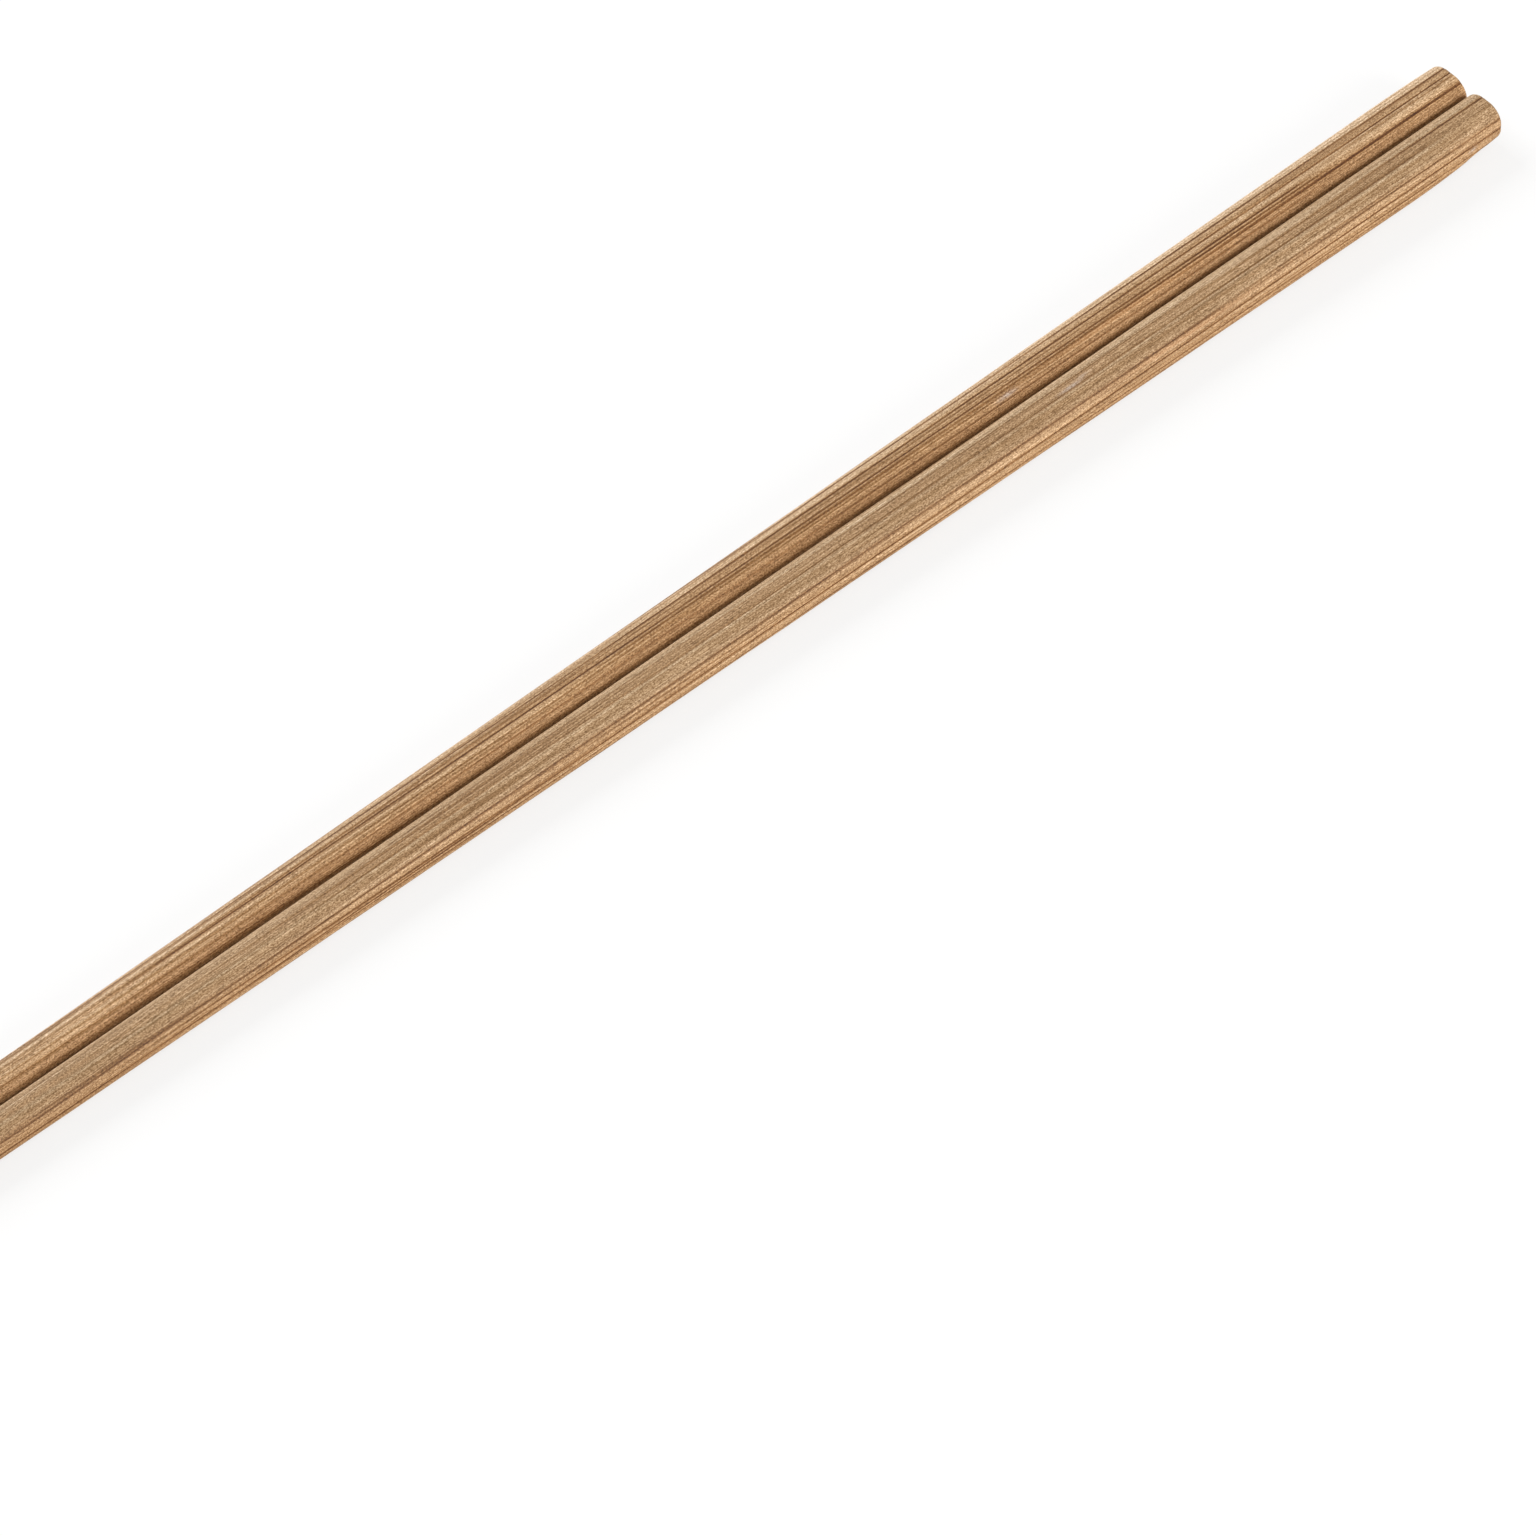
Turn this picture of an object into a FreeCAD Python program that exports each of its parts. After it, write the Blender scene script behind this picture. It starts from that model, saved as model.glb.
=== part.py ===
import FreeCAD, Part
import math
import os
import Sketcher

# A pair of disposable bamboo chopsticks lying side by side on a table.
# X runs along the sticks, with the thick head ends at +X and the eating tips at -X. Z is up.
# The origin is the middle of the pair, on the table.

doc = FreeCAD.newDocument("BambooChopsticks")

# Sizes in millimetres. The shoulder is a stick's widest place, just behind its head end.
# A flat is what is left of the shorter side of a section between its two rounded corners.
# At the head the outer and the lower side draw in over a short length, most on the near stick.
# The planed depth is what is taken off the underside, so that a stick lies without rolling.
sizes = {
    "stick_length": 210.0,
    "shoulder_width": 5.3,
    "shoulder_thickness": 5.0,
    "shoulder_flat": 0.9,
    "tip_width": 4.1,
    "tip_thickness": 3.9,
    "tip_flat": 0.2,
    "tip_rounding": 0.9,
    "head_flat": 0.6,
    "head_rounding": 0.5,
    "far_draw_length": 5.0,
    "far_draw_side": 0.12,
    "far_draw_under": 0.1,
    "near_draw_length": 9.0,
    "near_draw_side": 0.5,
    "near_draw_under": 0.45,
    "planed_depth": 0.03,
    "side_gap": 0.1,
}

sheet = doc.addObject("Spreadsheet::Sheet", "Sizes")
for row, (word, value) in enumerate(sizes.items(), start=1):
    sheet.set(f"A{row}", word)
    sheet.set(f"B{row}", str(value))
    sheet.setAlias(f"B{row}", word)
doc.recompute()


def originPlane(body, role):
    return next(plane for plane in body.Origin.OriginFeatures if plane.Role == role)


def cornerRadius(width, thickness, flat):
    return f"(min({width}; {thickness}) - {flat}) / 2"


def roundedSection(body, name, outward, station, width, thickness, flat, lift):
    # One cross-section of a stick: a rectangle with four equal rounded corners, its lower side
    # lift above the table. Its inner side stands half the gap from the middle of the pair, and
    # outward (+1 or -1) says on which side. All sizes are expressions on the sheet.
    corner = cornerRadius(width, thickness, flat)
    sketch = body.newObject("Sketcher::SketchObject", name)
    sketch.AttachmentSupport = (originPlane(body, "YZ_Plane"), "")
    sketch.MapMode = "FlatFace"
    sketch.setExpression("AttachmentOffset.Base.z", station)

    # The outline is drawn at its size, and the constraints hold it there.
    radius = sheet.evalExpression(corner)
    inner = sheet.side_gap / 2
    outer = inner + sheet.evalExpression(width)
    left, right = sorted((outward * inner, outward * outer))
    low = sheet.evalExpression(lift)
    high = low + sheet.evalExpression(thickness)
    sides = [
        ((left + radius, low), (right - radius, low)),
        ((right, low + radius), (right, high - radius)),
        ((right - radius, high), (left + radius, high)),
        ((left, high - radius), (left, low + radius)),
    ]
    centres = [
        (right - radius, low + radius),
        (right - radius, high - radius),
        (left + radius, high - radius),
        (left + radius, low + radius),
    ]
    quarter = math.pi / 2
    for turn, ((start, end), centre) in enumerate(zip(sides, centres), start=-1):
        line = Part.LineSegment(FreeCAD.Vector(*start), FreeCAD.Vector(*end))
        circle = Part.Circle(FreeCAD.Vector(*centre), FreeCAD.Vector(0, 0, 1), radius)
        sketch.addGeometry(line)
        sketch.addGeometry(Part.ArcOfCircle(circle, turn * quarter, (turn + 1) * quarter))

    # Lines and arcs take turns round the outline, and each one's end (2) meets the next one's start (1).
    bottom, firstArc, rightSide, top, leftSide = 0, 1, 2, 4, 6
    origin = -1
    for piece in range(8):
        sketch.addConstraint(Sketcher.Constraint("Tangent", piece, 2, (piece + 1) % 8, 1))
    for line in (bottom, top):
        sketch.addConstraint(Sketcher.Constraint("Horizontal", line))
    for line in (rightSide, leftSide):
        sketch.addConstraint(Sketcher.Constraint("Vertical", line))
    for arc in (3, 5, 7):
        sketch.addConstraint(Sketcher.Constraint("Equal", firstArc, arc))

    def hold(constraint, expression):
        number = sketch.addConstraint(constraint)
        sketch.setExpression(f"Constraints[{number}]", expression)

    hold(Sketcher.Constraint("Radius", firstArc, radius), corner)
    hold(Sketcher.Constraint("DistanceX", leftSide, 1, rightSide, 1, right - left), width)
    hold(Sketcher.Constraint("DistanceY", bottom, 1, top, 1, high - low), thickness)
    if outward > 0:
        hold(Sketcher.Constraint("DistanceX", origin, 1, leftSide, 1, inner), "Sizes.side_gap / 2")
    else:
        hold(Sketcher.Constraint("DistanceX", rightSide, 1, origin, 1, inner), "Sizes.side_gap / 2")
    if low > 0:
        hold(Sketcher.Constraint("DistanceY", origin, 1, bottom, 1, low), lift)
    else:
        hold(Sketcher.Constraint("DistanceY", bottom, 1, origin, 1, -low), f"-({lift})")
    return sketch


def boxBelowTable(body, name):
    # Takes off whatever of the stick would reach below the table.
    below = body.newObject("PartDesign::SubtractiveBox", name)
    below.setExpression("Length", "2 * Sizes.stick_length")
    below.setExpression("Width", "4 * Sizes.shoulder_width")
    below.setExpression("Height", "Sizes.shoulder_thickness")
    below.setExpression("Placement.Base.x", "-Sizes.stick_length")
    below.setExpression("Placement.Base.y", "-2 * Sizes.shoulder_width")
    below.setExpression("Placement.Base.z", "-Sizes.shoulder_thickness")
    return below


def endEdges(shape, station):
    # The names of the edges round the flat end that stands at this place along X.
    return [
        f"Edge{number}"
        for number, edge in enumerate(shape.Edges, start=1)
        if all(abs(vertex.X - station) < 1e-4 for vertex in edge.Vertexes)
    ]


def stick(name, outward):
    # A straight stick, thickest at its shoulder, thinner and rounder at the tip. Its inner side and
    # its underside are straight, so it lies flat on the table and flush against the other stick.
    body = doc.addObject("PartDesign::Body", name)
    body.Label = f"{name}_stick"
    halfLength = "Sizes.stick_length / 2"
    headWidth = f"(Sizes.shoulder_width - Sizes.{name}_draw_side)"
    headThickness = f"(Sizes.shoulder_thickness - Sizes.{name}_draw_under)"
    head = roundedSection(
        body, f"{name}_head_section", outward, halfLength,
        headWidth, headThickness, "Sizes.head_flat", f"Sizes.{name}_draw_under")
    shoulder = roundedSection(
        body, f"{name}_shoulder_section", outward, f"{halfLength} - Sizes.{name}_draw_length",
        "Sizes.shoulder_width", "(Sizes.shoulder_thickness + Sizes.planed_depth)",
        "Sizes.shoulder_flat", "-Sizes.planed_depth")
    tip = roundedSection(
        body, f"{name}_tip_section", outward, f"-{halfLength}",
        "Sizes.tip_width", "(Sizes.tip_thickness + Sizes.planed_depth)",
        "Sizes.tip_flat", "-Sizes.planed_depth")
    doc.recompute()

    shaft = body.newObject("PartDesign::AdditiveLoft", f"{name}_shaft")
    shaft.Profile = head
    shaft.Sections = [shoulder, tip]
    shaft.Ruled = True
    doc.recompute()

    # Both ends are tumbled smooth, the eating tip more than the head.
    headRound = body.newObject("PartDesign::Fillet", f"{name}_head_rounding")
    headRound.Base = (shaft, endEdges(shaft.Shape, sheet.stick_length / 2))
    headRound.setExpression("Radius", "Sizes.head_rounding")
    doc.recompute()
    tipRound = body.newObject("PartDesign::Fillet", f"{name}_tip_rounding")
    tipRound.Base = (headRound, endEdges(headRound.Shape, -sheet.stick_length / 2))
    tipRound.setExpression("Radius", "Sizes.tip_rounding")
    doc.recompute()

    # The underside is planed to the level of the table.
    underside = boxBelowTable(body, f"{name}_underside")
    body.Tip = underside
    doc.recompute()
    if underside.Shape.Volume >= tipRound.Shape.Volume:
        raise RuntimeError(f"{body.Label}: planing the underside took nothing off")
    return body


sticks = [stick("far", +1), stick("near", -1)]

for thing in doc.Objects:
    if "Invalid" in thing.State or "Error" in thing.State:
        raise RuntimeError(f"{thing.Label} did not build: {thing.State}")
for body in sticks:
    if body.Shape.isNull() or not body.Shape.isValid():
        raise RuntimeError(f"{body.Label} has no valid shape")

os.makedirs("parts", exist_ok=True)
for body in sticks:
    body.Shape.exportStep(f"parts/{body.Label}.step")
    print(f"{body.Label}: {len(body.Shape.Solids)} solid, {body.Shape.Volume:.1f} mm3")
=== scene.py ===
import math

import bpy
import numpy as np
from mathutils import Matrix, Vector


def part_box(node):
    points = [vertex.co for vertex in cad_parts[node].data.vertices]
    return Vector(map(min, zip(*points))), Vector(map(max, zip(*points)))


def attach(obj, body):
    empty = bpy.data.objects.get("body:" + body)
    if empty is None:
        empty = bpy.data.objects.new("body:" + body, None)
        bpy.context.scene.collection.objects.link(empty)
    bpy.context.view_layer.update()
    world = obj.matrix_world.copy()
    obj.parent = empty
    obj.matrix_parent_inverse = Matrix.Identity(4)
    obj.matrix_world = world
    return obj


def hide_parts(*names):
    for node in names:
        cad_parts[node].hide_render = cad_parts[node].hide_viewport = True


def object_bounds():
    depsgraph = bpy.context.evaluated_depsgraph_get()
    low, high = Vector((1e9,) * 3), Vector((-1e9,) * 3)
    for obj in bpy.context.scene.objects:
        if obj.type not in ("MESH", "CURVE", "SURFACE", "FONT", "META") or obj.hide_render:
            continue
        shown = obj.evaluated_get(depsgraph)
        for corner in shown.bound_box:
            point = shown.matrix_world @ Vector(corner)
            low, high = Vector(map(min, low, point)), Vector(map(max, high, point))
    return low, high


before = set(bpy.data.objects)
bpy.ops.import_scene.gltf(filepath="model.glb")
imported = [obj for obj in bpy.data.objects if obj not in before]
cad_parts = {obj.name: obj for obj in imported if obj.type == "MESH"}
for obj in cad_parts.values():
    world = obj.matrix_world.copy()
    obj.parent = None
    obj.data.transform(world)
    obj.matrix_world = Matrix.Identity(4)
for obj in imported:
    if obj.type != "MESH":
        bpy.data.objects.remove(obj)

# A pair of bare bamboo chopsticks lying side by side, heads at +X and eating tips at -X.
# The dictionaries hold millimetres and shares, unless a note says otherwise.
mm = 0.001
cadBox = [list(corner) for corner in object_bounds()]
print("frame loaded:", sorted(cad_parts))

photoCamera = {
    "azimuth": -42.55,           # degrees, 0 looks along +Y
    "elevation": 48.7,           # degrees
    "distance": 1800.0,
    "pixelsPerMm": 10.03,        # at the heads
    "frameSize": 1536,           # pixels
    "headAt": (1469.7, 94.6),    # pixels, where the notch between the heads stands in the frame
    "headHeight": 3.6,           # that notch's height above the floor
    "sensor": 36.0,
    "clip": (0.05, 20.0),        # metres
}


def towardsPhoto():
    azimuth, elevation = math.radians(photoCamera["azimuth"]), math.radians(photoCamera["elevation"])
    level = math.cos(elevation)
    return Vector((math.sin(azimuth) * level, -math.cos(azimuth) * level, math.sin(elevation)))


# The photo's direction in a stick's own cross-section, as (towards +Y, up).
photoSide = towardsPhoto().yz.normalized()

# What both sticks share. Length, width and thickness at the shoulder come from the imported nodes.
stickShape = {
    "shoulderFlat": 0.9,         # straight part of the shorter side, between its corners
    "shoulderSoftness": 4.5,     # length over which the shoulder's crease is smoothed, each way
    "tipWidth": 4.1,
    "tipThickness": 3.9,
    "tipFlat": 0.2,
    "tipRounding": 0.9,
    "headFlat": 0.6,
    "headRounding": 0.5,
    "planedDepth": 0.03,         # taken off the underside, so that it lies flat
    "sideGap": 0.1,
}

meshDetail = {
    "cornerSteps": 58,           # rows round each of the four corners
    "flatSteps": 12,             # rows across each flat side
    "stationPitch": 0.78,        # along the plain length
    "endSteps": 9,               # rings round each rounded end
    "capRings": 22,              # rings across each cut end
    "shoulderSamples": 15,
}

# Relief only goes inwards, so a stick stays inside its packed size.
relief = {
    "fibreDepth": 0.035,
    "hollowDepth": 0.05,
    "hollowWaves": (61.0, 37.0, 23.0, 13.0),
    "endFibreDepth": 0.025,
    "endDepth": 0.012,
    "endMiddleDepth": 0.02,
}

# Dark rods of fibre that run through the whole stick and come out at its skin and its cut ends.
bundleStyle = {
    "margin": 0.3,               # how far outside the section rods are still strewn
    "sizes": (0.05, 0.08),       # half width
    "flattening": 2.2,           # how much longer a rod's section is towards the skin than across
    "fewest": 0.06,              # share of rods left where they are sparsest
    "darkness": (0.2, 0.7),      # least, and span
    "rarity": 1.6,               # how rare the darkest are
    "core": 1.5,
    "reach": 14.0,               # in squared half widths
    "photoSideFrom": -0.3,       # the photo's side begins here, from the stick's middle
    "rimDepth": 0.45,
    "wander": 0.03,
    "wanderLength": 130.0,
    "wanderShare": 0.7,          # how much slower it wanders up and down than sideways
    "endScale": 1.4,
}

# How each drawn line is shaded across and along: a strong core in a weak halo.
lineStyle = {
    "core": (1.6, 0.8),          # strength, and width as a share of the line's half width
    "halo": (0.42, 1.5),
    "bend": 0.05,
    "bendWaves": (170.0, 90.0, 41.0),
    "bendSeed": 50,
    "seeds": {"lines": 50, "paleLines": 90},
    "strengthWaves": (47.0, 23.0, 11.0, 5.3),
    "strength": (0.78, 0.4),     # least, and span
    "startFade": 3.0,
    "endFade": (12.0, 8.0),      # before and after the line's end
    "inView": (0.02, 0.22),      # how squarely the skin faces the photo where a line begins and is whole
    "steepest": 0.3,
    "reach": 4.0,                # in half widths
}

# How squarely the skin faces a painted tint's side where the tint begins and is whole. Both tints are
# painted light: painted light and shade on a flank, and a painted sheen on a rim.
tintReach = {
    # painted light and shade on the flank that a lamp lights or the other stick shades
    "paintedLight": (0.1, 0.95),
    # painted sheen on the rim that faces the back light
    "paleAndSheen": (0.80, 0.93),
}

# How far in a rounded end stands where its end wood begins and is whole.
endWood = {
    "span": (0.02, 0.3),
    "atRim": 0.6,                # share of it on the rounding
    "linesFade": (0.75, 0.95),   # share of the way out over which the skin's lines come in
}

farStick = {
    "name": "farStick",
    "node": "far_stick",
    "outward": 1,
    "drawLength": 5.0,
    "drawSide": 0.12,
    "drawUnder": 0.1,
    # the dark fibres of the culm: how many to a square millimetre, and the side where they crowd
    "seed": 21,
    "bundles": 5.0,
    "skinSide": (0.3, 1.0),
    "crowding": 0.6,
    # dark lines of the top side: place up from the pair's middle as the photo sees it, darkness,
    # half width, and where it starts and ends, from the head end
    "lines": [
        (5.61, 1.00, 0.100, -5, 190),
        (5.28, 0.30, 0.070, -5, 26),
        (4.92, 1.00, 0.085, -5, 230),
        (4.59, 0.70, 0.075, -5, 17),
        (4.59, 0.60, 0.075, 40, 140),
        (4.74, 0.35, 0.055, 34, 210),
        (4.36, 0.35, 0.060, 22, 75),
        (4.14, 1.00, 0.090, 21, 180),
        (3.79, 0.85, 0.085, 18, 120),
        (3.45, 0.95, 0.120, -5, 42),
        (3.45, 0.45, 0.090, 38, 230),
        (3.96, 0.30, 0.055, 45, 200),
        (3.12, 0.30, 0.060, 30, 150),
        (2.79, 0.55, 0.075, 21, 210),
    ],
    # pale lines, in the same order of values
    "paleLines": [
        (4.72, 0.50, 0.130, -5, 150),
        (4.30, 0.12, 0.090, -5, 60),
        (3.15, 0.25, 0.120, -5, 230),
    ],
    # small marks: kind, place up as for the lines, from the head end, half length, half width, strength
    "marks": [
        ("scuff", 3.21, 62.2, 1.0, 0.20, 0.50),
        ("stain", 2.10, 0.7, 0.6, 0.35, 0.60),
        ("stain", 3.55, 47.0, 9.0, 0.20, 0.35),
    ],
    # sides given painted light, as (outward, up): painted shade and warm bounce on the flank by the groove,
    # and a painted sheen on the upper rim that faces the back light
    "paintedLightSide": (-1.0, 0.1),
    "paleAndSheenSide": (0.6, 0.8),
    "sheenShare": 0.9,
    "material": "farBamboo",
    "dents": [],
}

nearStick = {
    "name": "nearStick",
    "node": "near_stick",
    "outward": -1,
    "drawLength": 9.0,
    "drawSide": 0.5,
    "drawUnder": 0.45,
    "seed": 8,
    "bundles": 4.0,
    "skinSide": (1.0, -0.5),
    "crowding": 0.7,
    "lines": [
        (1.05, 0.90, 0.085, -5, 19),
        (0.87, 0.55, 0.075, 17, 40),
        (1.02, 0.55, 0.075, 38, 150),
        (0.12, 0.70, 0.075, 9, 47),
        (0.14, 0.50, 0.075, 44, 130),
        (-0.60, 0.15, 0.065, 5, 90),
        (-1.52, 0.55, 0.070, 14, 40),
        (-1.79, 0.70, 0.065, -5, 40),
        (-1.62, 0.80, 0.080, 38, 230),
        (-2.56, 0.85, 0.080, -5, 230),
        (-2.92, 0.35, 0.060, 2, 60),
        (-3.19, 0.70, 0.070, -5, 175),
        # painted shade: this line darkens the lower edge, where the skin turns away from the light
        (-3.46, 0.45, 0.055, 6, 230),
    ],
    "paleLines": [
        (1.38, 1.00, 0.120, -5, 38),
        (1.60, 0.80, 0.120, 36, 210),
        (-0.13, 0.75, 0.120, 8, 230),
        (-1.25, 0.30, 0.180, -5, 200),
        (-2.18, 0.25, 0.130, -5, 230),
        (-2.76, 0.45, 0.090, -5, 170),
    ],
    "marks": [
        ("scuff", 0.37, 57.0, 1.3, 0.15, 0.42),
        ("scuff", 0.62, 55.2, 0.7, 0.12, 0.30),
        ("scuff", -2.82, 4.5, 0.4, 0.14, 0.40),
        ("stain", -1.95, 44.0, 8.0, 0.16, 0.35),
    ],
    # painted light on the lower flank, lighter and warmer as if lit from the front right
    "paintedLightSide": (0.85, -0.2),
    # painted sheen on the inner rim by the groove, which faces the back light
    "paleAndSheenSide": (-0.6, 0.8),
    "sheenShare": 0.6,
    "material": "nearBamboo",
    # from the head end, half length, direction as (outward, up), half width, depth
    "dents": [
        (4.0, 0.5, (0.84, -0.54), 0.7, 0.10),
        (2.6, 0.35, (0.84, -0.54), 0.6, 0.10),
    ],
}


def smooth(value, low, high):
    share = np.clip((value - low) / (high - low), 0, 1)
    return share * share * (3 - 2 * share)


def outlineTable(detail):
    # One round of a rounded rectangle: each row's place between the corner centres, each from -1
    # to 1, and the angle that it faces.
    places, angles = [], []
    corners = [(1, -1), (1, 1), (-1, 1), (-1, -1)]
    for turn, corner in enumerate(corners):
        start = (turn - 1) * math.pi / 2
        for step in range(detail["cornerSteps"]):
            places.append(corner)
            angles.append(start + step / detail["cornerSteps"] * math.pi / 2)
        after = corners[(turn + 1) % 4]
        for step in range(detail["flatSteps"]):
            share = step / detail["flatSteps"]
            places.append([here + (there - here) * share for here, there in zip(corner, after)])
            angles.append(start + math.pi / 2)
    return np.array(places), np.array(angles)


def stationsAlong(length, shape, detail):
    # Places along X, close together where the ends round over.
    half = length / 2
    quarter = np.linspace(0, math.pi / 2, detail["endSteps"] + 1)
    tip = -half + shape["tipRounding"] * (1 - np.cos(quarter))
    head = half - shape["headRounding"] * (1 - np.cos(quarter))
    count = int(round((head.min() - tip.max()) / detail["stationPitch"]))
    body = np.linspace(tip.max(), head.min(), count + 1)[1:-1]
    return np.concatenate([np.sort(tip), body, np.sort(head)])


def sectionsAt(x, size, stick, shape, detail):
    # The rounded rectangle at each station: width, underside, thickness and corner radius. Each is
    # averaged over a short length, so that the shoulder shows no crease.
    length, width, thickness = size
    half = length / 2
    planed = shape["planedDepth"]
    marks = [-half, half - stick["drawLength"], half]
    widths = [shape["tipWidth"], width, width - stick["drawSide"]]
    lows = [-planed, -planed, stick["drawUnder"]]
    tall = [shape["tipThickness"] + planed, thickness + planed, thickness - stick["drawUnder"]]
    flats = [shape["tipFlat"], shape["shoulderFlat"], shape["headFlat"]]
    radii = [(min(wide, high) - flat) / 2 for wide, high, flat in zip(widths, tall, flats)]
    reach = np.minimum(shape["shoulderSoftness"], half - np.abs(x))
    near = x[:, None] + reach[:, None] * np.linspace(-1, 1, detail["shoulderSamples"])
    return [np.interp(near, marks, values).mean(1) for values in (widths, lows, tall, radii)]


def endInset(x, length, shape):
    # How far the rounded ends stand in from the plain section.
    half = length / 2
    inset = np.zeros_like(x)
    for gap, rounding in ((half - x, shape["headRounding"]), (half + x, shape["tipRounding"])):
        into = np.clip(rounding - gap, 0, rounding)
        inset = np.maximum(inset, rounding - np.sqrt(rounding ** 2 - into ** 2))
    return inset


def plainSkin(stick, size, shape, detail):
    # The stick before any relief, as rings of points along X.
    place, angle = outlineTable(detail)
    x = stationsAlong(size[0], shape, detail)
    width, bottom, tall, radius = sectionsAt(x, size, stick, shape, detail)
    inset = endInset(x, size[0], shape)
    across = (shape["sideGap"] / 2 + width / 2)[:, None] + place[:, 0] * (width / 2 - radius)[:, None]
    up = (bottom + tall / 2)[:, None] + place[:, 1] * (tall / 2 - radius)[:, None]
    return {
        "along": np.repeat(x[:, None], len(angle), 1),
        "across": across + (radius - inset)[:, None] * np.cos(angle),
        "up": up + (radius - inset)[:, None] * np.sin(angle),
        "angle": angle,
        "inset": inset,
        "radius": radius.max(),
        "facing": np.cos(angle) * stick["outward"] * photoSide[0] + np.sin(angle) * photoSide[1],
    }


def skinPoints(skin, outward):
    return np.stack([skin["along"], skin["across"] * outward, skin["up"]], -1)


def unevenness(x, seed, waves):
    # A smooth random run of values along a stick, 0 to 1.
    rng = np.random.default_rng(seed)
    total = sum(wave ** 0.4 * np.sin(2 * math.pi * (x / wave + rng.random())) for wave in waves)
    return 0.5 + 0.5 * total / sum(wave ** 0.4 for wave in waves)


def gentleHollows(along, angle, seed):
    # Slow hollows along a stick, as the mill and the drying leave them; always 0 or more.
    rng = np.random.default_rng(seed)
    total = np.zeros(along.shape)
    weight = 0
    for wave in relief["hollowWaves"]:
        lobes = rng.integers(1, 5)
        share = wave ** 0.5
        phase = rng.uniform(0, 2 * math.pi, 2)
        total += share * np.sin(2 * math.pi * along / wave + phase[0]) * np.sin(lobes * angle + phase[1])
        weight += share
    return relief["hollowDepth"] * (0.5 + 0.5 * total / weight)


def makeBundles(stick, width, thickness, sideGap):
    # Nearly straight rods along X. Their sections are drawn out towards the skin side, where they
    # crowd. Twice the number is strewn, since about half of them are dropped again.
    style = bundleStyle
    rng = np.random.default_rng(stick["seed"])
    margin = style["margin"]
    number = int(stick["bundles"] * (width + 2 * margin) * (thickness + 2 * margin)) * 2
    y = rng.uniform(-margin, width + margin, number)
    z = rng.uniform(-margin, thickness + margin, number)
    skin = np.array(stick["skinSide"]) / np.linalg.norm(stick["skinSide"])
    towardsSkin = (y / width - 0.5) * skin[0] + (z / thickness - 0.5) * skin[1]
    kept = rng.random(number) < np.clip(0.5 + stick["crowding"] * towardsSkin, style["fewest"], 1)
    # The side that the photo shows has its own lines, so no rod comes out there.
    y0, z0 = y - width / 2, z - thickness / 2
    shown = y0 * stick["outward"] * photoSide[0] + z0 * photoSide[1]
    atRim = np.hypot(y0, z0) > thickness / 2 - style["rimDepth"]
    kept &= ~((shown > style["photoSideFrom"]) & atRim)
    y, z, number = y[kept], z[kept], int(kept.sum())
    least, span = style["darkness"]
    return {
        "y": (y + sideGap / 2) * stick["outward"],
        "z": z,
        "skin": (skin[0] * stick["outward"], skin[1]),
        "size": rng.uniform(*style["sizes"], number),
        "dark": least + span * rng.random(number) ** style["rarity"],
        "phase": rng.uniform(0, 1, number),
    }


def bundlesAt(points, bundles, sizeScale=1.0):
    # How much of a dark rod shows at each point, 0 to 1.
    style = bundleStyle
    shown = np.zeros(len(points))
    x, y, z = points.T
    skinY, skinZ = bundles["skin"]
    for k, dark in enumerate(bundles["dark"]):
        turn = 2 * math.pi * (x / style["wanderLength"] + bundles["phase"][k])
        dy = y - bundles["y"][k] - style["wander"] * np.sin(turn)
        dz = z - bundles["z"][k] - style["wander"] * np.cos(turn * style["wanderShare"])
        size = bundles["size"][k] * sizeScale
        aside, inward = dz * skinY - dy * skinZ, dy * skinY + dz * skinZ
        far = (aside / size) ** 2 + (inward / (size * style["flattening"])) ** 2
        near = far < style["reach"]
        core = np.minimum(style["core"] * np.exp(-far[near] / 2), 1)
        shown[near] = np.maximum(shown[near], dark * core)
    return shown


def placeUp(points):
    # How far up from the pair's middle each point stands, as the photo sees it.
    return points[:, 1] * photoSide[1] - points[:, 2] * photoSide[0]


def linesAt(points, facing, stick, length, key="lines"):
    # The dark or pale lines of the side that the photo shows, 0 to 1.
    style = lineStyle
    x, up = points[:, 0], placeUp(points)
    back = length / 2 - x
    inView = smooth(facing, *style["inView"])
    least, span = style["strength"]
    before, beyond = style["endFade"]
    shown = np.zeros(len(points))
    for k, (place, dark, wide, start, end) in enumerate(stick[key]):
        seed = stick["seed"] * 100 + k + style["seeds"][key]
        bend = style["bend"] * (unevenness(x, seed + style["bendSeed"], style["bendWaves"]) - 0.5)
        fade = smooth(back, start - style["startFade"], start + style["startFade"])
        fade = fade * (1 - smooth(back, end - before, end + beyond))
        uneven = least + span * unevenness(x, seed, style["strengthWaves"])
        strength = np.minimum(dark * fade * uneven, 1) * inView
        off = (up - place - bend) / np.clip(facing, style["steepest"], 1) / wide
        near = np.abs(off) < style["reach"]
        core, halo = [
            height * np.exp(-(off[near] / spread) ** 2 / 2)
            for height, spread in (style["core"], style["halo"])]
        line = strength[near] * np.maximum(np.minimum(core, 1), halo)
        shown[near] = np.maximum(shown[near], line)
    return shown


def marksAt(points, facing, stick, length, kind):
    # The scuffs or the stains, 0 to 1.
    up = placeUp(points)
    inView = smooth(facing, *lineStyle["inView"])
    shown = np.zeros(len(points))
    for what, place, back, reach, spread, strength in stick["marks"]:
        if what == kind:
            lengthways = (length / 2 - back - points[:, 0]) / reach
            far = lengthways ** 2 + ((up - place) / spread) ** 2
            shown = np.maximum(shown, strength * np.exp(-far) * inView)
    return shown


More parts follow.
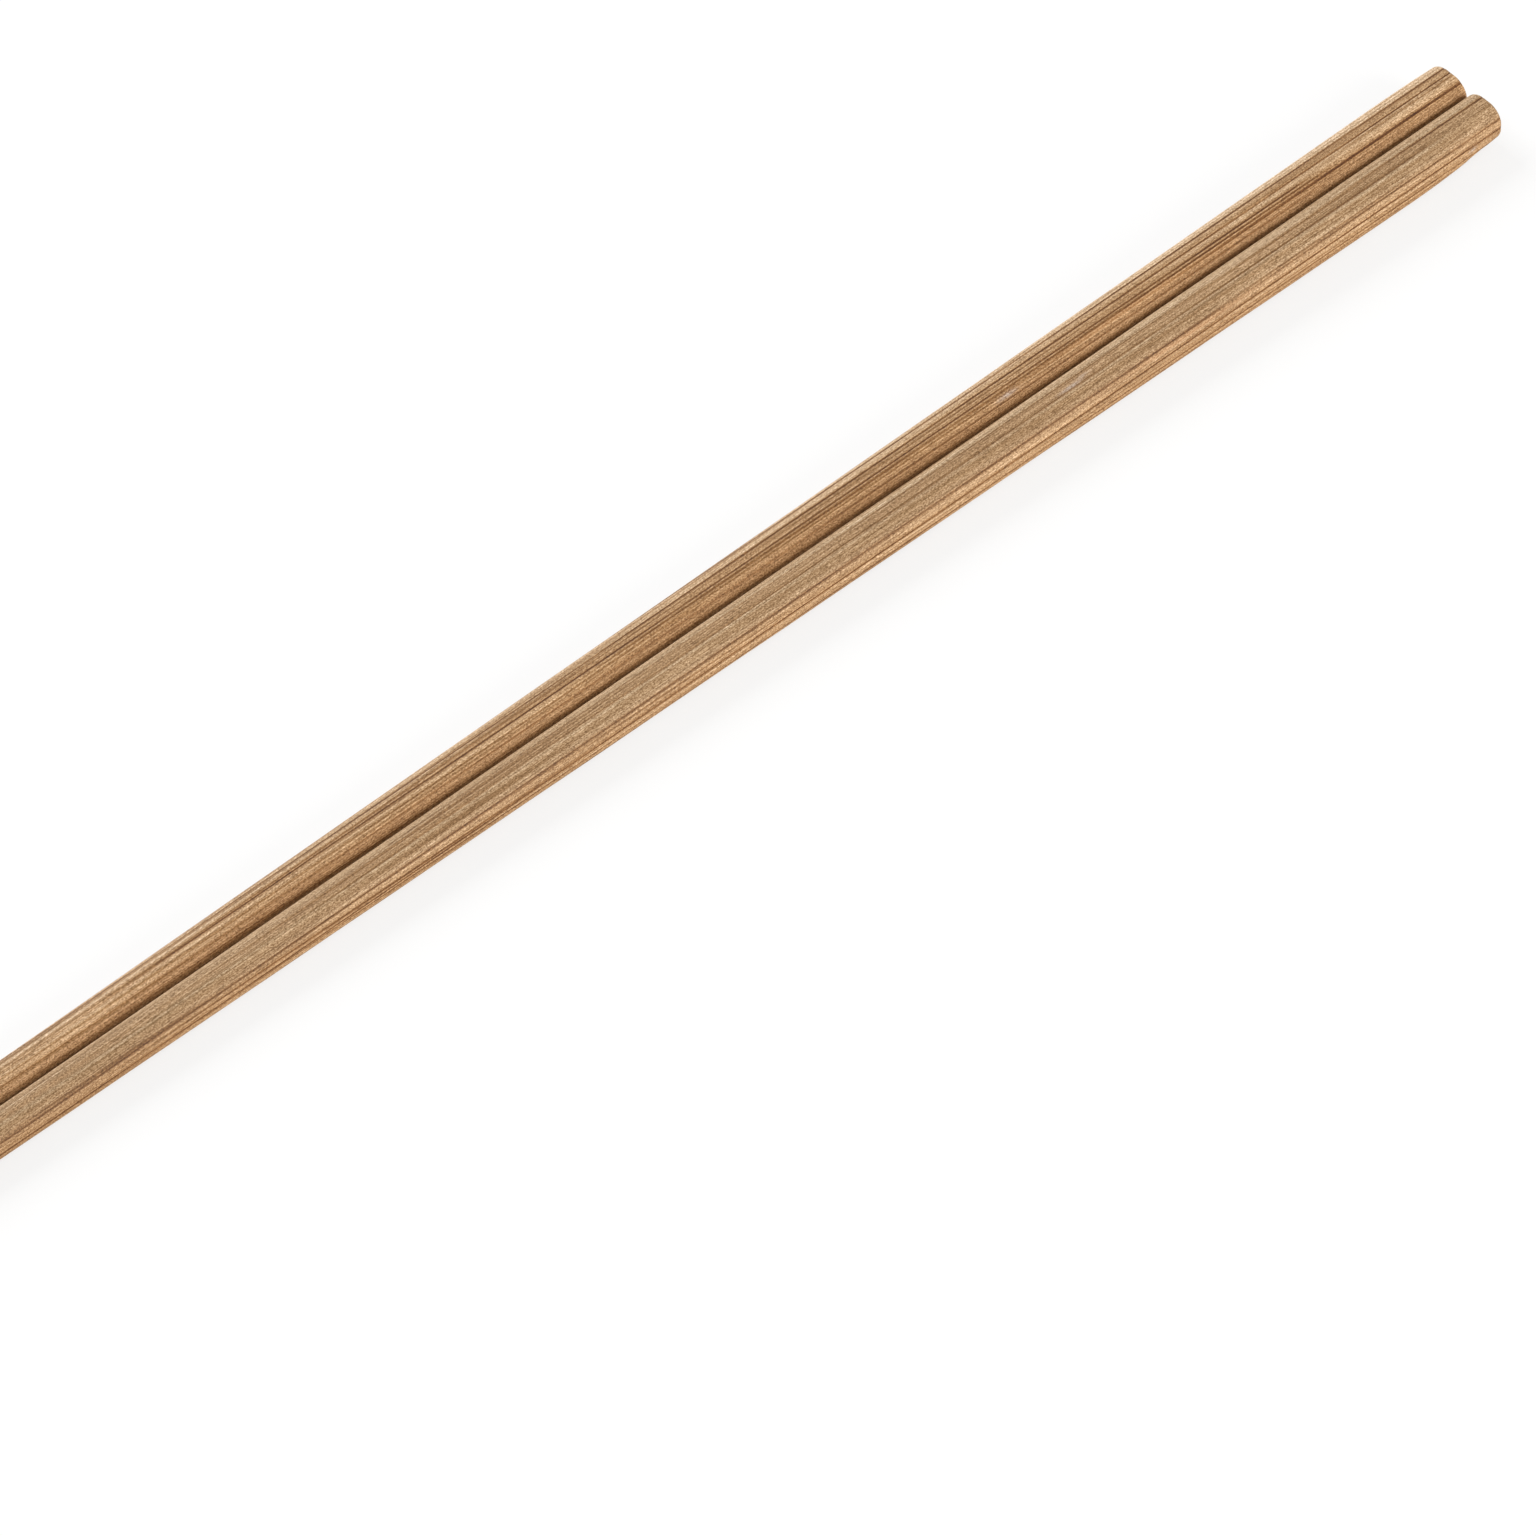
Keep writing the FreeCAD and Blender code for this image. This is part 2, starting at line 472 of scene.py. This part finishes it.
def paintSkin(points, skin, stick, length, bundles):
    # What the wood's colour needs to know at each point of the skin, 0 to 1.
    rows, rounds = skin["along"].shape
    facing = np.tile(skin["facing"], rows)
    paint = {"fibre": np.maximum(bundlesAt(points, bundles), linesAt(points, facing, stick, length))}
    rim = smooth(skin["inset"], *endWood["span"])
    paint["cutEnd"] = np.repeat(rim, rounds) * endWood["atRim"]
    # The side masks are painted light: which way the skin faces decides them, not the wood.
    for kind, reach in tintReach.items():
        side = stick[kind + "Side"]
        towards = np.cos(skin["angle"]) * side[0] + np.sin(skin["angle"]) * side[1]
        paint[kind] = np.tile(smooth(towards, *reach), rows)
    # Painted sheen on the rim that faces the back light, joined with the pale grain lines.
    sheenShare = paint["paleAndSheen"] * stick["sheenShare"]
    paint["paleAndSheen"] = np.maximum(sheenShare, linesAt(points, facing, stick, length, "paleLines"))
    for kind in ("scuff", "stain"):
        paint[kind] = marksAt(points, facing, stick, length, kind)
    return paint


def pressRelief(skin, fibre, stick, length):
    # Sinks the fibre lines, the slow hollows and the dents into the skin.
    along, angle = skin["along"], skin["angle"]
    depth = relief["fibreDepth"] * fibre + gentleHollows(along, angle[None, :], stick["seed"])
    for back, reach, direction, spread, deep in stick["dents"]:
        middle = math.atan2(direction[1], direction[0])
        turn = (angle - middle + math.pi) % (2 * math.pi) - math.pi
        sideways = turn * skin["radius"] / spread
        lengthways = (length / 2 - back - along) / reach
        depth = depth + deep * np.exp(-lengthways ** 2 - sideways[None, :] ** 2)
    skin["across"] = skin["across"] - depth * np.cos(angle)
    skin["up"] = np.maximum(skin["up"] - depth * np.sin(angle), 0)


def facesBetween(rings):
    after = np.roll(rings, -1, 1)
    return np.stack([rings[:-1], after[:-1], after[1:], rings[1:]], -1).reshape(-1, 4)


def closeEnd(rim, way, facing, stick, length, bundles, detail):
    # A cut end's points, ring by ring to its middle, and the fibres seen end on.
    middle = rim.mean(0)
    shares = np.linspace(1, 0, detail["capRings"] + 1)[1:-1]
    flat = (middle + (rim[None] - middle) * shares[:, None, None]).reshape(-1, 3)
    dots = bundlesAt(flat, bundles, bundleStyle["endScale"])
    rimLines = linesAt(flat, np.tile(facing, len(shares)), stick, length)
    dots = np.maximum(dots, rimLines * np.repeat(smooth(shares, *endWood["linesFade"]), len(rim)))
    flat[:, 0] -= way * (relief["endFibreDepth"] * dots + relief["endDepth"])
    centre = middle - [way * relief["endMiddleDepth"], 0, 0]
    return np.concatenate([flat, centre[None]]), np.append(dots, 0)


def buildStick(stick, shape, detail):
    low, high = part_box(stick["node"])
    size = [(high[k] - low[k]) / mm for k in range(3)]
    length, outward = size[0], stick["outward"]
    bundles = makeBundles(stick, size[1], size[2], shape["sideGap"])
    skin = plainSkin(stick, size, shape, detail)
    rows, rounds = skin["along"].shape
    paint = paintSkin(skinPoints(skin, outward).reshape(-1, 3), skin, stick, length, bundles)
    pressRelief(skin, paint["fibre"].reshape(rows, rounds), stick, length)

    points = skinPoints(skin, outward)
    rings = np.arange(rows * rounds).reshape(rows, rounds)
    allPoints, quads, fans = [points.reshape(-1, 3)], [facesBetween(rings)], []
    layers = {kind: [values] for kind, values in paint.items()}
    offset = rows * rounds
    for row, way in ((0, -1), (rows - 1, 1)):
        cap, dots = closeEnd(points[row], way, skin["facing"], stick, length, bundles, detail)
        centre = offset + len(cap) - 1
        inner = np.arange(offset, centre).reshape(-1, rounds)
        faces = facesBetween(np.concatenate([rings[row][None], inner]))
        fan = np.stack([inner[-1], np.roll(inner[-1], -1), np.full(rounds, centre)], -1)
        quads.append(faces[:, ::way])
        fans.append(fan[:, ::way])
        allPoints.append(cap)
        for kind, values in layers.items():
            values.append({"fibre": dots, "cutEnd": np.ones(len(cap))}.get(kind, np.zeros(len(cap))))
        offset += len(cap)
    piece = makePiece(stick, np.concatenate(allPoints), np.concatenate(quads), np.concatenate(fans), layers)
    print(f"{stick['name']}: {offset} points, {len(bundles['y'])} fibre bundles")
    return piece


def makePiece(stick, points, quads, fans, layers):
    # The far stick is the near one's mirror image, so its faces are turned over.
    turned = -stick["outward"]
    mesh = bpy.data.meshes.new(stick["name"])
    mesh.from_pydata((points * mm).tolist(), [], quads[:, ::turned].tolist() + fans[:, ::turned].tolist())
    for kind, values in layers.items():
        layer = mesh.attributes.new(kind, "FLOAT", "POINT")
        layer.data.foreach_set("value", np.concatenate(values).astype(np.float32))
    mesh.shade_smooth()
    mesh.validate()
    piece = bpy.data.objects.new(stick["name"], mesh)
    bpy.context.scene.collection.objects.link(piece)
    return piece


class Tree:
    # A short way to add nodes and join their sockets.
    def __init__(self, tree):
        self.tree = tree

    def feed(self, socket, value):
        if isinstance(value, bpy.types.NodeSocket):
            self.tree.links.new(value, socket)
        else:
            socket.default_value = value

    def node(self, kind, inputs=None, **settings):
        made = self.tree.nodes.new(kind)
        for key, value in settings.items():
            setattr(made, key, value)
        for key, value in (inputs or {}).items():
            self.feed(made.inputs[key], value)
        return made

    def math(self, operation, *values, clamp=False):
        made = self.node("ShaderNodeMath", operation=operation, use_clamp=clamp)
        for socket, value in zip(made.inputs, values):
            self.feed(socket, value)
        return made.outputs[0]

    def ranged(self, value, low, high, toLow=0.0, toHigh=1.0, kind="LINEAR"):
        return self.node("ShaderNodeMapRange", {
            "Value": value, "From Min": low, "From Max": high, "To Min": toLow, "To Max": toHigh,
        }, interpolation_type=kind).outputs[0]

    def mixColour(self, share, first, second, blend="MIX"):
        made = self.node("ShaderNodeMix", data_type="RGBA", blend_type=blend)
        for name, value in (("Factor_Float", share), ("A_Color", first), ("B_Color", second)):
            self.feed(next(s for s in made.inputs if s.identifier == name), value)
        return next(s for s in made.outputs if s.identifier == "Result_Color")

    def darkened(self, colour, tone, powers):
        # Bamboo turns redder as it turns darker, so green and blue take the tone to a higher power.
        channels = [self.math("POWER", tone, power) for power in powers]
        tint = self.node("ShaderNodeCombineXYZ", dict(zip("XYZ", channels)))
        return self.mixColour(1.0, colour, tint.outputs[0], "MULTIPLY")


# Noise drawn out along X: length and width of its streaks, noise detail and roughness, and the
# pattern's shift along X, counted in such lengths.
grain = {
    "streaks": (130.0, 0.15, 2.0, 0.6, 0.0),
    "fineStreaks": (170.0, 0.075, 1.0, 0.5, 5.0),
    "hairs": (120.0, 0.42, 1.0, 0.5, 31.0),
    "hairRuns": (22.0, 0.9, 1.0, 0.5, 47.0),
    "pores": (1.3, 0.14, 1.0, 0.5, 7.0),
    "specks": (0.21, 0.10, 1.0, 0.5, 11.0),
    "broadBands": (70.0, 1.5, 2.0, 0.5, 13.0),
    "narrowBands": (120.0, 0.5, 1.0, 0.5, 19.0),
}

# How the noise becomes tones, hairs and height. A span is the part of the noise that is used.
grainTone = {
    "noiseSpan": (0.3, 0.7),
    "bandSpan": (0.36, 0.64),
    "streaks": (0.66, 1.32),         # darkest and lightest tone
    "fineStreaks": (0.86, 1.14),
    "pores": (0.86, 1.12),
    "specks": (0.48, 1.54),
    "tonePowers": (1.0, 1.2, 1.5),   # for red, green and blue
    "linePowers": (1.0, 1.37, 1.95),
    "hairSpan": (0.004, 0.03),
    "hairRunSpan": (0.42, 0.62),
    "faintHair": 0.1,
    "streakHeight": 0.5,
    "poreHeight": 0.5,
    "hairDepth": 0.3,
    "endShare": 0.85,
    "scuffSpan": (0.35, 0.6),
    "scuffGrit": (0.3, 1.3),
}

farBamboo = {
    "Pale": (0.448, 0.295, 0.166, 1),
    "Tan": (0.385, 0.238, 0.121, 1),
    # painted shade and warm bounce on the flank by the groove
    "Painted Light Tint": (1.02, 0.91, 0.77, 1),
    # painted sheen that lifts and pales the rim; the pale grain lines use it too
    "Pale And Sheen Tint": (1.20, 1.32, 1.52, 1),
    "Stain": (0.46, 0.22, 0.09, 1),
    "Scuff": (0.52, 0.50, 0.50, 1),
    "End Wood": (0.30, 0.19, 0.105, 1),
    "Line Depth": 0.80,
    "Hair Depth": 0.5,
    "Shift": 3.0,
}

nearBamboo = {
    "Pale": (0.338, 0.213, 0.110, 1),
    "Tan": (0.294, 0.175, 0.084, 1),
    # painted light that lifts the lower flank
    "Painted Light Tint": (1.24, 1.20, 1.18, 1),
    # painted sheen that lifts and pales the rim; the pale grain lines use it too
    "Pale And Sheen Tint": (1.24, 1.40, 1.64, 1),
    "Stain": (0.46, 0.22, 0.09, 1),
    "Scuff": (0.52, 0.50, 0.50, 1),
    "End Wood": (0.30, 0.19, 0.105, 1),
    "Line Depth": 0.80,
    "Hair Depth": 0.3,
    "Shift": 41.0,
}

# The shader and bump values of both sticks.
bambooSurface = {
    "roughness": (0.68, 0.54),           # of the dark and of the pale streaks
    "specular": 0.25,
    "bumpStrength": 0.6,
    "bumpDistance": 0.00004,             # metres
}

# The masks that each stick's mesh carries, and the group's inputs that they feed.
paintInputs = {
    "fibre": "Fibre",
    "cutEnd": "Cut End",
    # painted light and shade, by which way the skin faces
    "paintedLight": "Warm Side",
    # painted sheen on the rims, together with the pale grain lines
    "paleAndSheen": "Pale Side",
    "scuff": "Scuffed",
    "stain": "Stained",
}


def bareBambooGroup(finish):
    # Bare bamboo with its grain along X. Fed with a stick's colours and masks, it puts out the
    # wood's colour, its height for the bump, and the streaks for the roughness.
    group = bpy.data.node_groups.new("bareBamboo", "ShaderNodeTree")
    for name, value in finish.items():
        kind = "NodeSocketFloat" if isinstance(value, float) else "NodeSocketColor"
        group.interface.new_socket(name, in_out="INPUT", socket_type=kind)
    for name in paintInputs.values():
        group.interface.new_socket(name, in_out="INPUT", socket_type="NodeSocketFloat")
    group.interface.new_socket("Colour", in_out="OUTPUT", socket_type="NodeSocketColor")
    for name in ("Height", "Streaks"):
        group.interface.new_socket(name, in_out="OUTPUT", socket_type="NodeSocketFloat")
    tree = Tree(group)
    given = tree.node("NodeGroupInput").outputs
    wood = grainNoise(tree, given["Shift"])
    outs = tree.node("NodeGroupOutput").inputs
    tree.feed(outs["Colour"], woodColour(tree, given, wood))
    tree.feed(outs["Height"], woodHeight(tree, wood))
    tree.feed(outs["Streaks"], wood["streaks"])
    return group


def grainNoise(tree, shift):
    # Each kind of grain as a value from 0 to 1.
    place = tree.node("ShaderNodeTexCoord").outputs["Object"]
    apart = tree.node("ShaderNodeSeparateXYZ", {0: place}).outputs
    x, y, z = [tree.math("MULTIPLY", apart[k], 1 / mm) for k in range(3)]
    noise = {}
    for kind, (length, width, detail, roughness, far) in grain.items():
        vector = tree.node("ShaderNodeCombineXYZ", {
            "X": tree.math("ADD", tree.math("DIVIDE", x, length), tree.math("ADD", shift, far)),
            "Y": tree.math("DIVIDE", y, width),
            "Z": tree.math("DIVIDE", z, width)})
        noise[kind] = tree.node("ShaderNodeTexNoise", {
            "Vector": vector.outputs[0], "Scale": 1.0, "Detail": detail, "Roughness": roughness}).outputs[0]

    ridge = tree.math("ABSOLUTE", tree.math("SUBTRACT", noise["hairs"], 0.5))
    hair = tree.ranged(ridge, *grainTone["hairSpan"], 1.0, 0.0, "SMOOTHSTEP")
    faint = grainTone["faintHair"]
    runs = tree.ranged(noise["hairRuns"], *grainTone["hairRunSpan"], faint, 1.0, "SMOOTHSTEP")
    noise["hairs"] = tree.math("MULTIPLY", hair, runs)
    broad, narrow = [tree.math("MULTIPLY", noise[kind], 0.5) for kind in ("broadBands", "narrowBands")]
    noise["bands"] = tree.math("ADD", broad, narrow)
    return noise


def woodColour(tree, given, wood):
    look = grainTone
    colour = tree.mixColour(tree.ranged(wood["bands"], *look["bandSpan"]), given["Tan"], given["Pale"])
    # Painted light: the two side masks lighten, darken or warm the colour by which way the skin faces; the
    # second also carries the pale grain lines.
    for mask, tint in (("Warm Side", "Painted Light Tint"), ("Pale Side", "Pale And Sheen Tint")):
        tinted = tree.mixColour(1.0, colour, given[tint], "MULTIPLY")
        colour = tree.mixColour(given[mask], colour, tinted)
    tone = 1.0
    for kind in ("streaks", "fineStreaks", "pores", "specks"):
        tone = tree.math("MULTIPLY", tone, tree.ranged(wood[kind], *look["noiseSpan"], *look[kind]))
    colour = tree.darkened(colour, tone, look["tonePowers"])
    cutEnd = tree.math("MULTIPLY", given["Cut End"], look["endShare"])
    colour = tree.mixColour(cutEnd, colour, given["End Wood"])
    colour = tree.mixColour(given["Stained"], colour, given["Stain"])
    hairs = tree.math("MULTIPLY", wood["hairs"], given["Hair Depth"])
    sunk = tree.math("MULTIPLY", tree.math("MAXIMUM", given["Fibre"], hairs), given["Line Depth"])
    colour = tree.darkened(colour, tree.math("SUBTRACT", 1.0, sunk, clamp=True), look["linePowers"])
    grit = tree.ranged(wood["specks"], *look["scuffSpan"], *look["scuffGrit"])
    return tree.mixColour(tree.math("MULTIPLY", given["Scuffed"], grit, clamp=True), colour, given["Scuff"])


def woodHeight(tree, wood):
    streaks = tree.math("MULTIPLY", wood["streaks"], grainTone["streakHeight"])
    pores = tree.math("MULTIPLY", wood["pores"], grainTone["poreHeight"])
    hairs = tree.math("MULTIPLY", wood["hairs"], grainTone["hairDepth"])
    return tree.math("SUBTRACT", tree.math("ADD", streaks, pores), hairs)


def bambooMaterial(name, finish, group):
    material = bpy.data.materials.new(name)
    material.use_nodes = True
    material.node_tree.nodes.clear()
    tree = Tree(material.node_tree)
    masks = {
        socket: tree.node("ShaderNodeAttribute", attribute_name=kind).outputs["Fac"]
        for kind, socket in paintInputs.items()}
    wood = tree.node("ShaderNodeGroup", node_tree=group)
    for socket, value in {**finish, **masks}.items():
        tree.feed(wood.inputs[socket], value)
    bump = tree.node("ShaderNodeBump", {
        "Height": wood.outputs["Height"],
        "Strength": bambooSurface["bumpStrength"],
        "Distance": bambooSurface["bumpDistance"]})
    rough = tree.ranged(wood.outputs["Streaks"], *grainTone["noiseSpan"], *bambooSurface["roughness"])
    skin = tree.node("ShaderNodeBsdfPrincipled", {
        "Base Color": wood.outputs["Colour"],
        "Roughness": rough,
        "Normal": bump.outputs[0],
        "Specular IOR Level": bambooSurface["specular"]})
    tree.feed(tree.node("ShaderNodeOutputMaterial").inputs["Surface"], skin.outputs[0])
    return material


bareBamboo = bareBambooGroup(farBamboo)
finishes = {"farBamboo": farBamboo, "nearBamboo": nearBamboo}
for stick in (farStick, nearStick):
    piece = buildStick(stick, stickShape, meshDetail)
    name = stick["material"]
    piece.data.materials.append(bambooMaterial(name, finishes[name], bareBamboo))
    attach(piece, "root")
    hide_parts(stick["node"])
print("sticks finished")

studio = {
    "floorHalf": 3.0,            # metres
    "floorColour": (0.86, 0.86, 0.86, 1),
    "floorGlow": 0.78,
    "hiddenReach": 0.004,        # metres
    "hiddenShare": (0.04, 0.2),  # open sky that the floor sees where the glow begins and is whole
    "hiddenSamples": 8,
    "skyLevel": 0.42,
    "sheenLevel": 1.3,
}

# Places and sizes in metres.
softboxes = [
    {"name": "backLeft", "from": (-0.15, 0.85, 0.55), "size": 0.7, "power": 13.0, "tint": (1, 1, 1)},
    {"name": "frontRight", "from": (0.30, -0.85, 0.35), "size": 0.6, "power": 9.5, "tint": (1, 0.96, 0.90)},
]


def buildFloor():
    reach = studio["floorHalf"]
    mesh = bpy.data.meshes.new("floor")
    corners = [(-reach, -reach, 0), (reach, -reach, 0), (reach, reach, 0), (-reach, reach, 0)]
    mesh.from_pydata(corners, [], [(0, 1, 2, 3)])
    floor = bpy.data.objects.new("floor", mesh)
    bpy.context.scene.collection.objects.link(floor)
    material = bpy.data.materials.new("paleFloor")
    material.use_nodes = True
    material.node_tree.nodes.clear()
    tree = Tree(material.node_tree)
    matt = tree.node("ShaderNodeBsdfDiffuse", {"Color": studio["floorColour"]})
    glow = tree.node("ShaderNodeEmission", {"Color": (1, 1, 1, 1), "Strength": 1.0})
    # The glow leaves out the floor that lies hidden between the sticks.
    seen = tree.node("ShaderNodeLightPath").outputs["Is Camera Ray"]
    openSky = tree.node(
        "ShaderNodeAmbientOcclusion", {"Distance": studio["hiddenReach"]}, samples=studio["hiddenSamples"])
    openSky = tree.ranged(openSky.outputs["AO"], *studio["hiddenShare"])
    glowing = tree.math("MULTIPLY", tree.math("MULTIPLY", seen, studio["floorGlow"]), openSky)
    mix = tree.node("ShaderNodeMixShader", {0: glowing, 1: matt.outputs[0], 2: glow.outputs[0]})
    tree.feed(tree.node("ShaderNodeOutputMaterial").inputs["Surface"], mix.outputs[0])
    mesh.materials.append(material)


def buildWorld():
    # White where the camera looks straight at it, bright in reflections, dimmer as a light.
    world = bpy.data.worlds.new("studio")
    bpy.context.scene.world = world
    world.use_nodes = True
    world.node_tree.nodes.clear()
    tree = Tree(world.node_tree)
    paths = tree.node("ShaderNodeLightPath").outputs
    level = tree.ranged(paths["Is Camera Ray"], 0.0, 1.0, studio["skyLevel"], 1.0)
    glossy = tree.math("MULTIPLY", paths["Is Glossy Ray"], studio["sheenLevel"] - studio["skyLevel"])
    sky = tree.node("ShaderNodeBackground", {
        "Color": (1, 1, 1, 1), "Strength": tree.math("ADD", level, glossy)})
    tree.feed(tree.node("ShaderNodeOutputWorld").inputs["Surface"], sky.outputs[0])


def buildLamps():
    for box in softboxes:
        data = bpy.data.lights.new(box["name"], "AREA")
        data.size = box["size"]
        data.energy = box["power"]
        data.color = box["tint"]
        lamp = bpy.data.objects.new(box["name"], data)
        bpy.context.scene.collection.objects.link(lamp)
        lamp.location = box["from"]
        lamp.rotation_mode = "QUATERNION"
        lamp.rotation_quaternion = (-Vector(box["from"])).to_track_quat("-Z", "Y")


def buildCamera():
    # Aimed so that the notch between the heads stands where the photo has it.
    shot = photoCamera
    azimuth = math.radians(shot["azimuth"])
    back = towardsPhoto()
    right = Vector((math.cos(azimuth), math.sin(azimuth), 0))
    up = back.cross(right)
    notch = Vector((cadBox[1][0], 0, shot["headHeight"] * mm))
    middle = shot["frameSize"] / 2
    pixel = mm / shot["pixelsPerMm"]
    aim = notch - right * (shot["headAt"][0] - middle) * pixel + up * (shot["headAt"][1] - middle) * pixel
    data = bpy.data.cameras.new("photoCamera")
    data.sensor_width = shot["sensor"]
    data.lens = shot["sensor"] * shot["distance"] / (shot["frameSize"] / shot["pixelsPerMm"])
    data.clip_start, data.clip_end = shot["clip"]
    camera = bpy.data.objects.new("photoCamera", data)
    bpy.context.scene.collection.objects.link(camera)
    camera.location = aim + back * shot["distance"] * mm
    camera.rotation_mode = "QUATERNION"
    camera.rotation_quaternion = Matrix((right, up, back)).transposed().to_quaternion()
    bpy.context.scene.camera = camera


buildFloor()
buildWorld()
buildLamps()
buildCamera()
bpy.context.scene.view_settings.view_transform = "Standard"
print("studio and camera set")
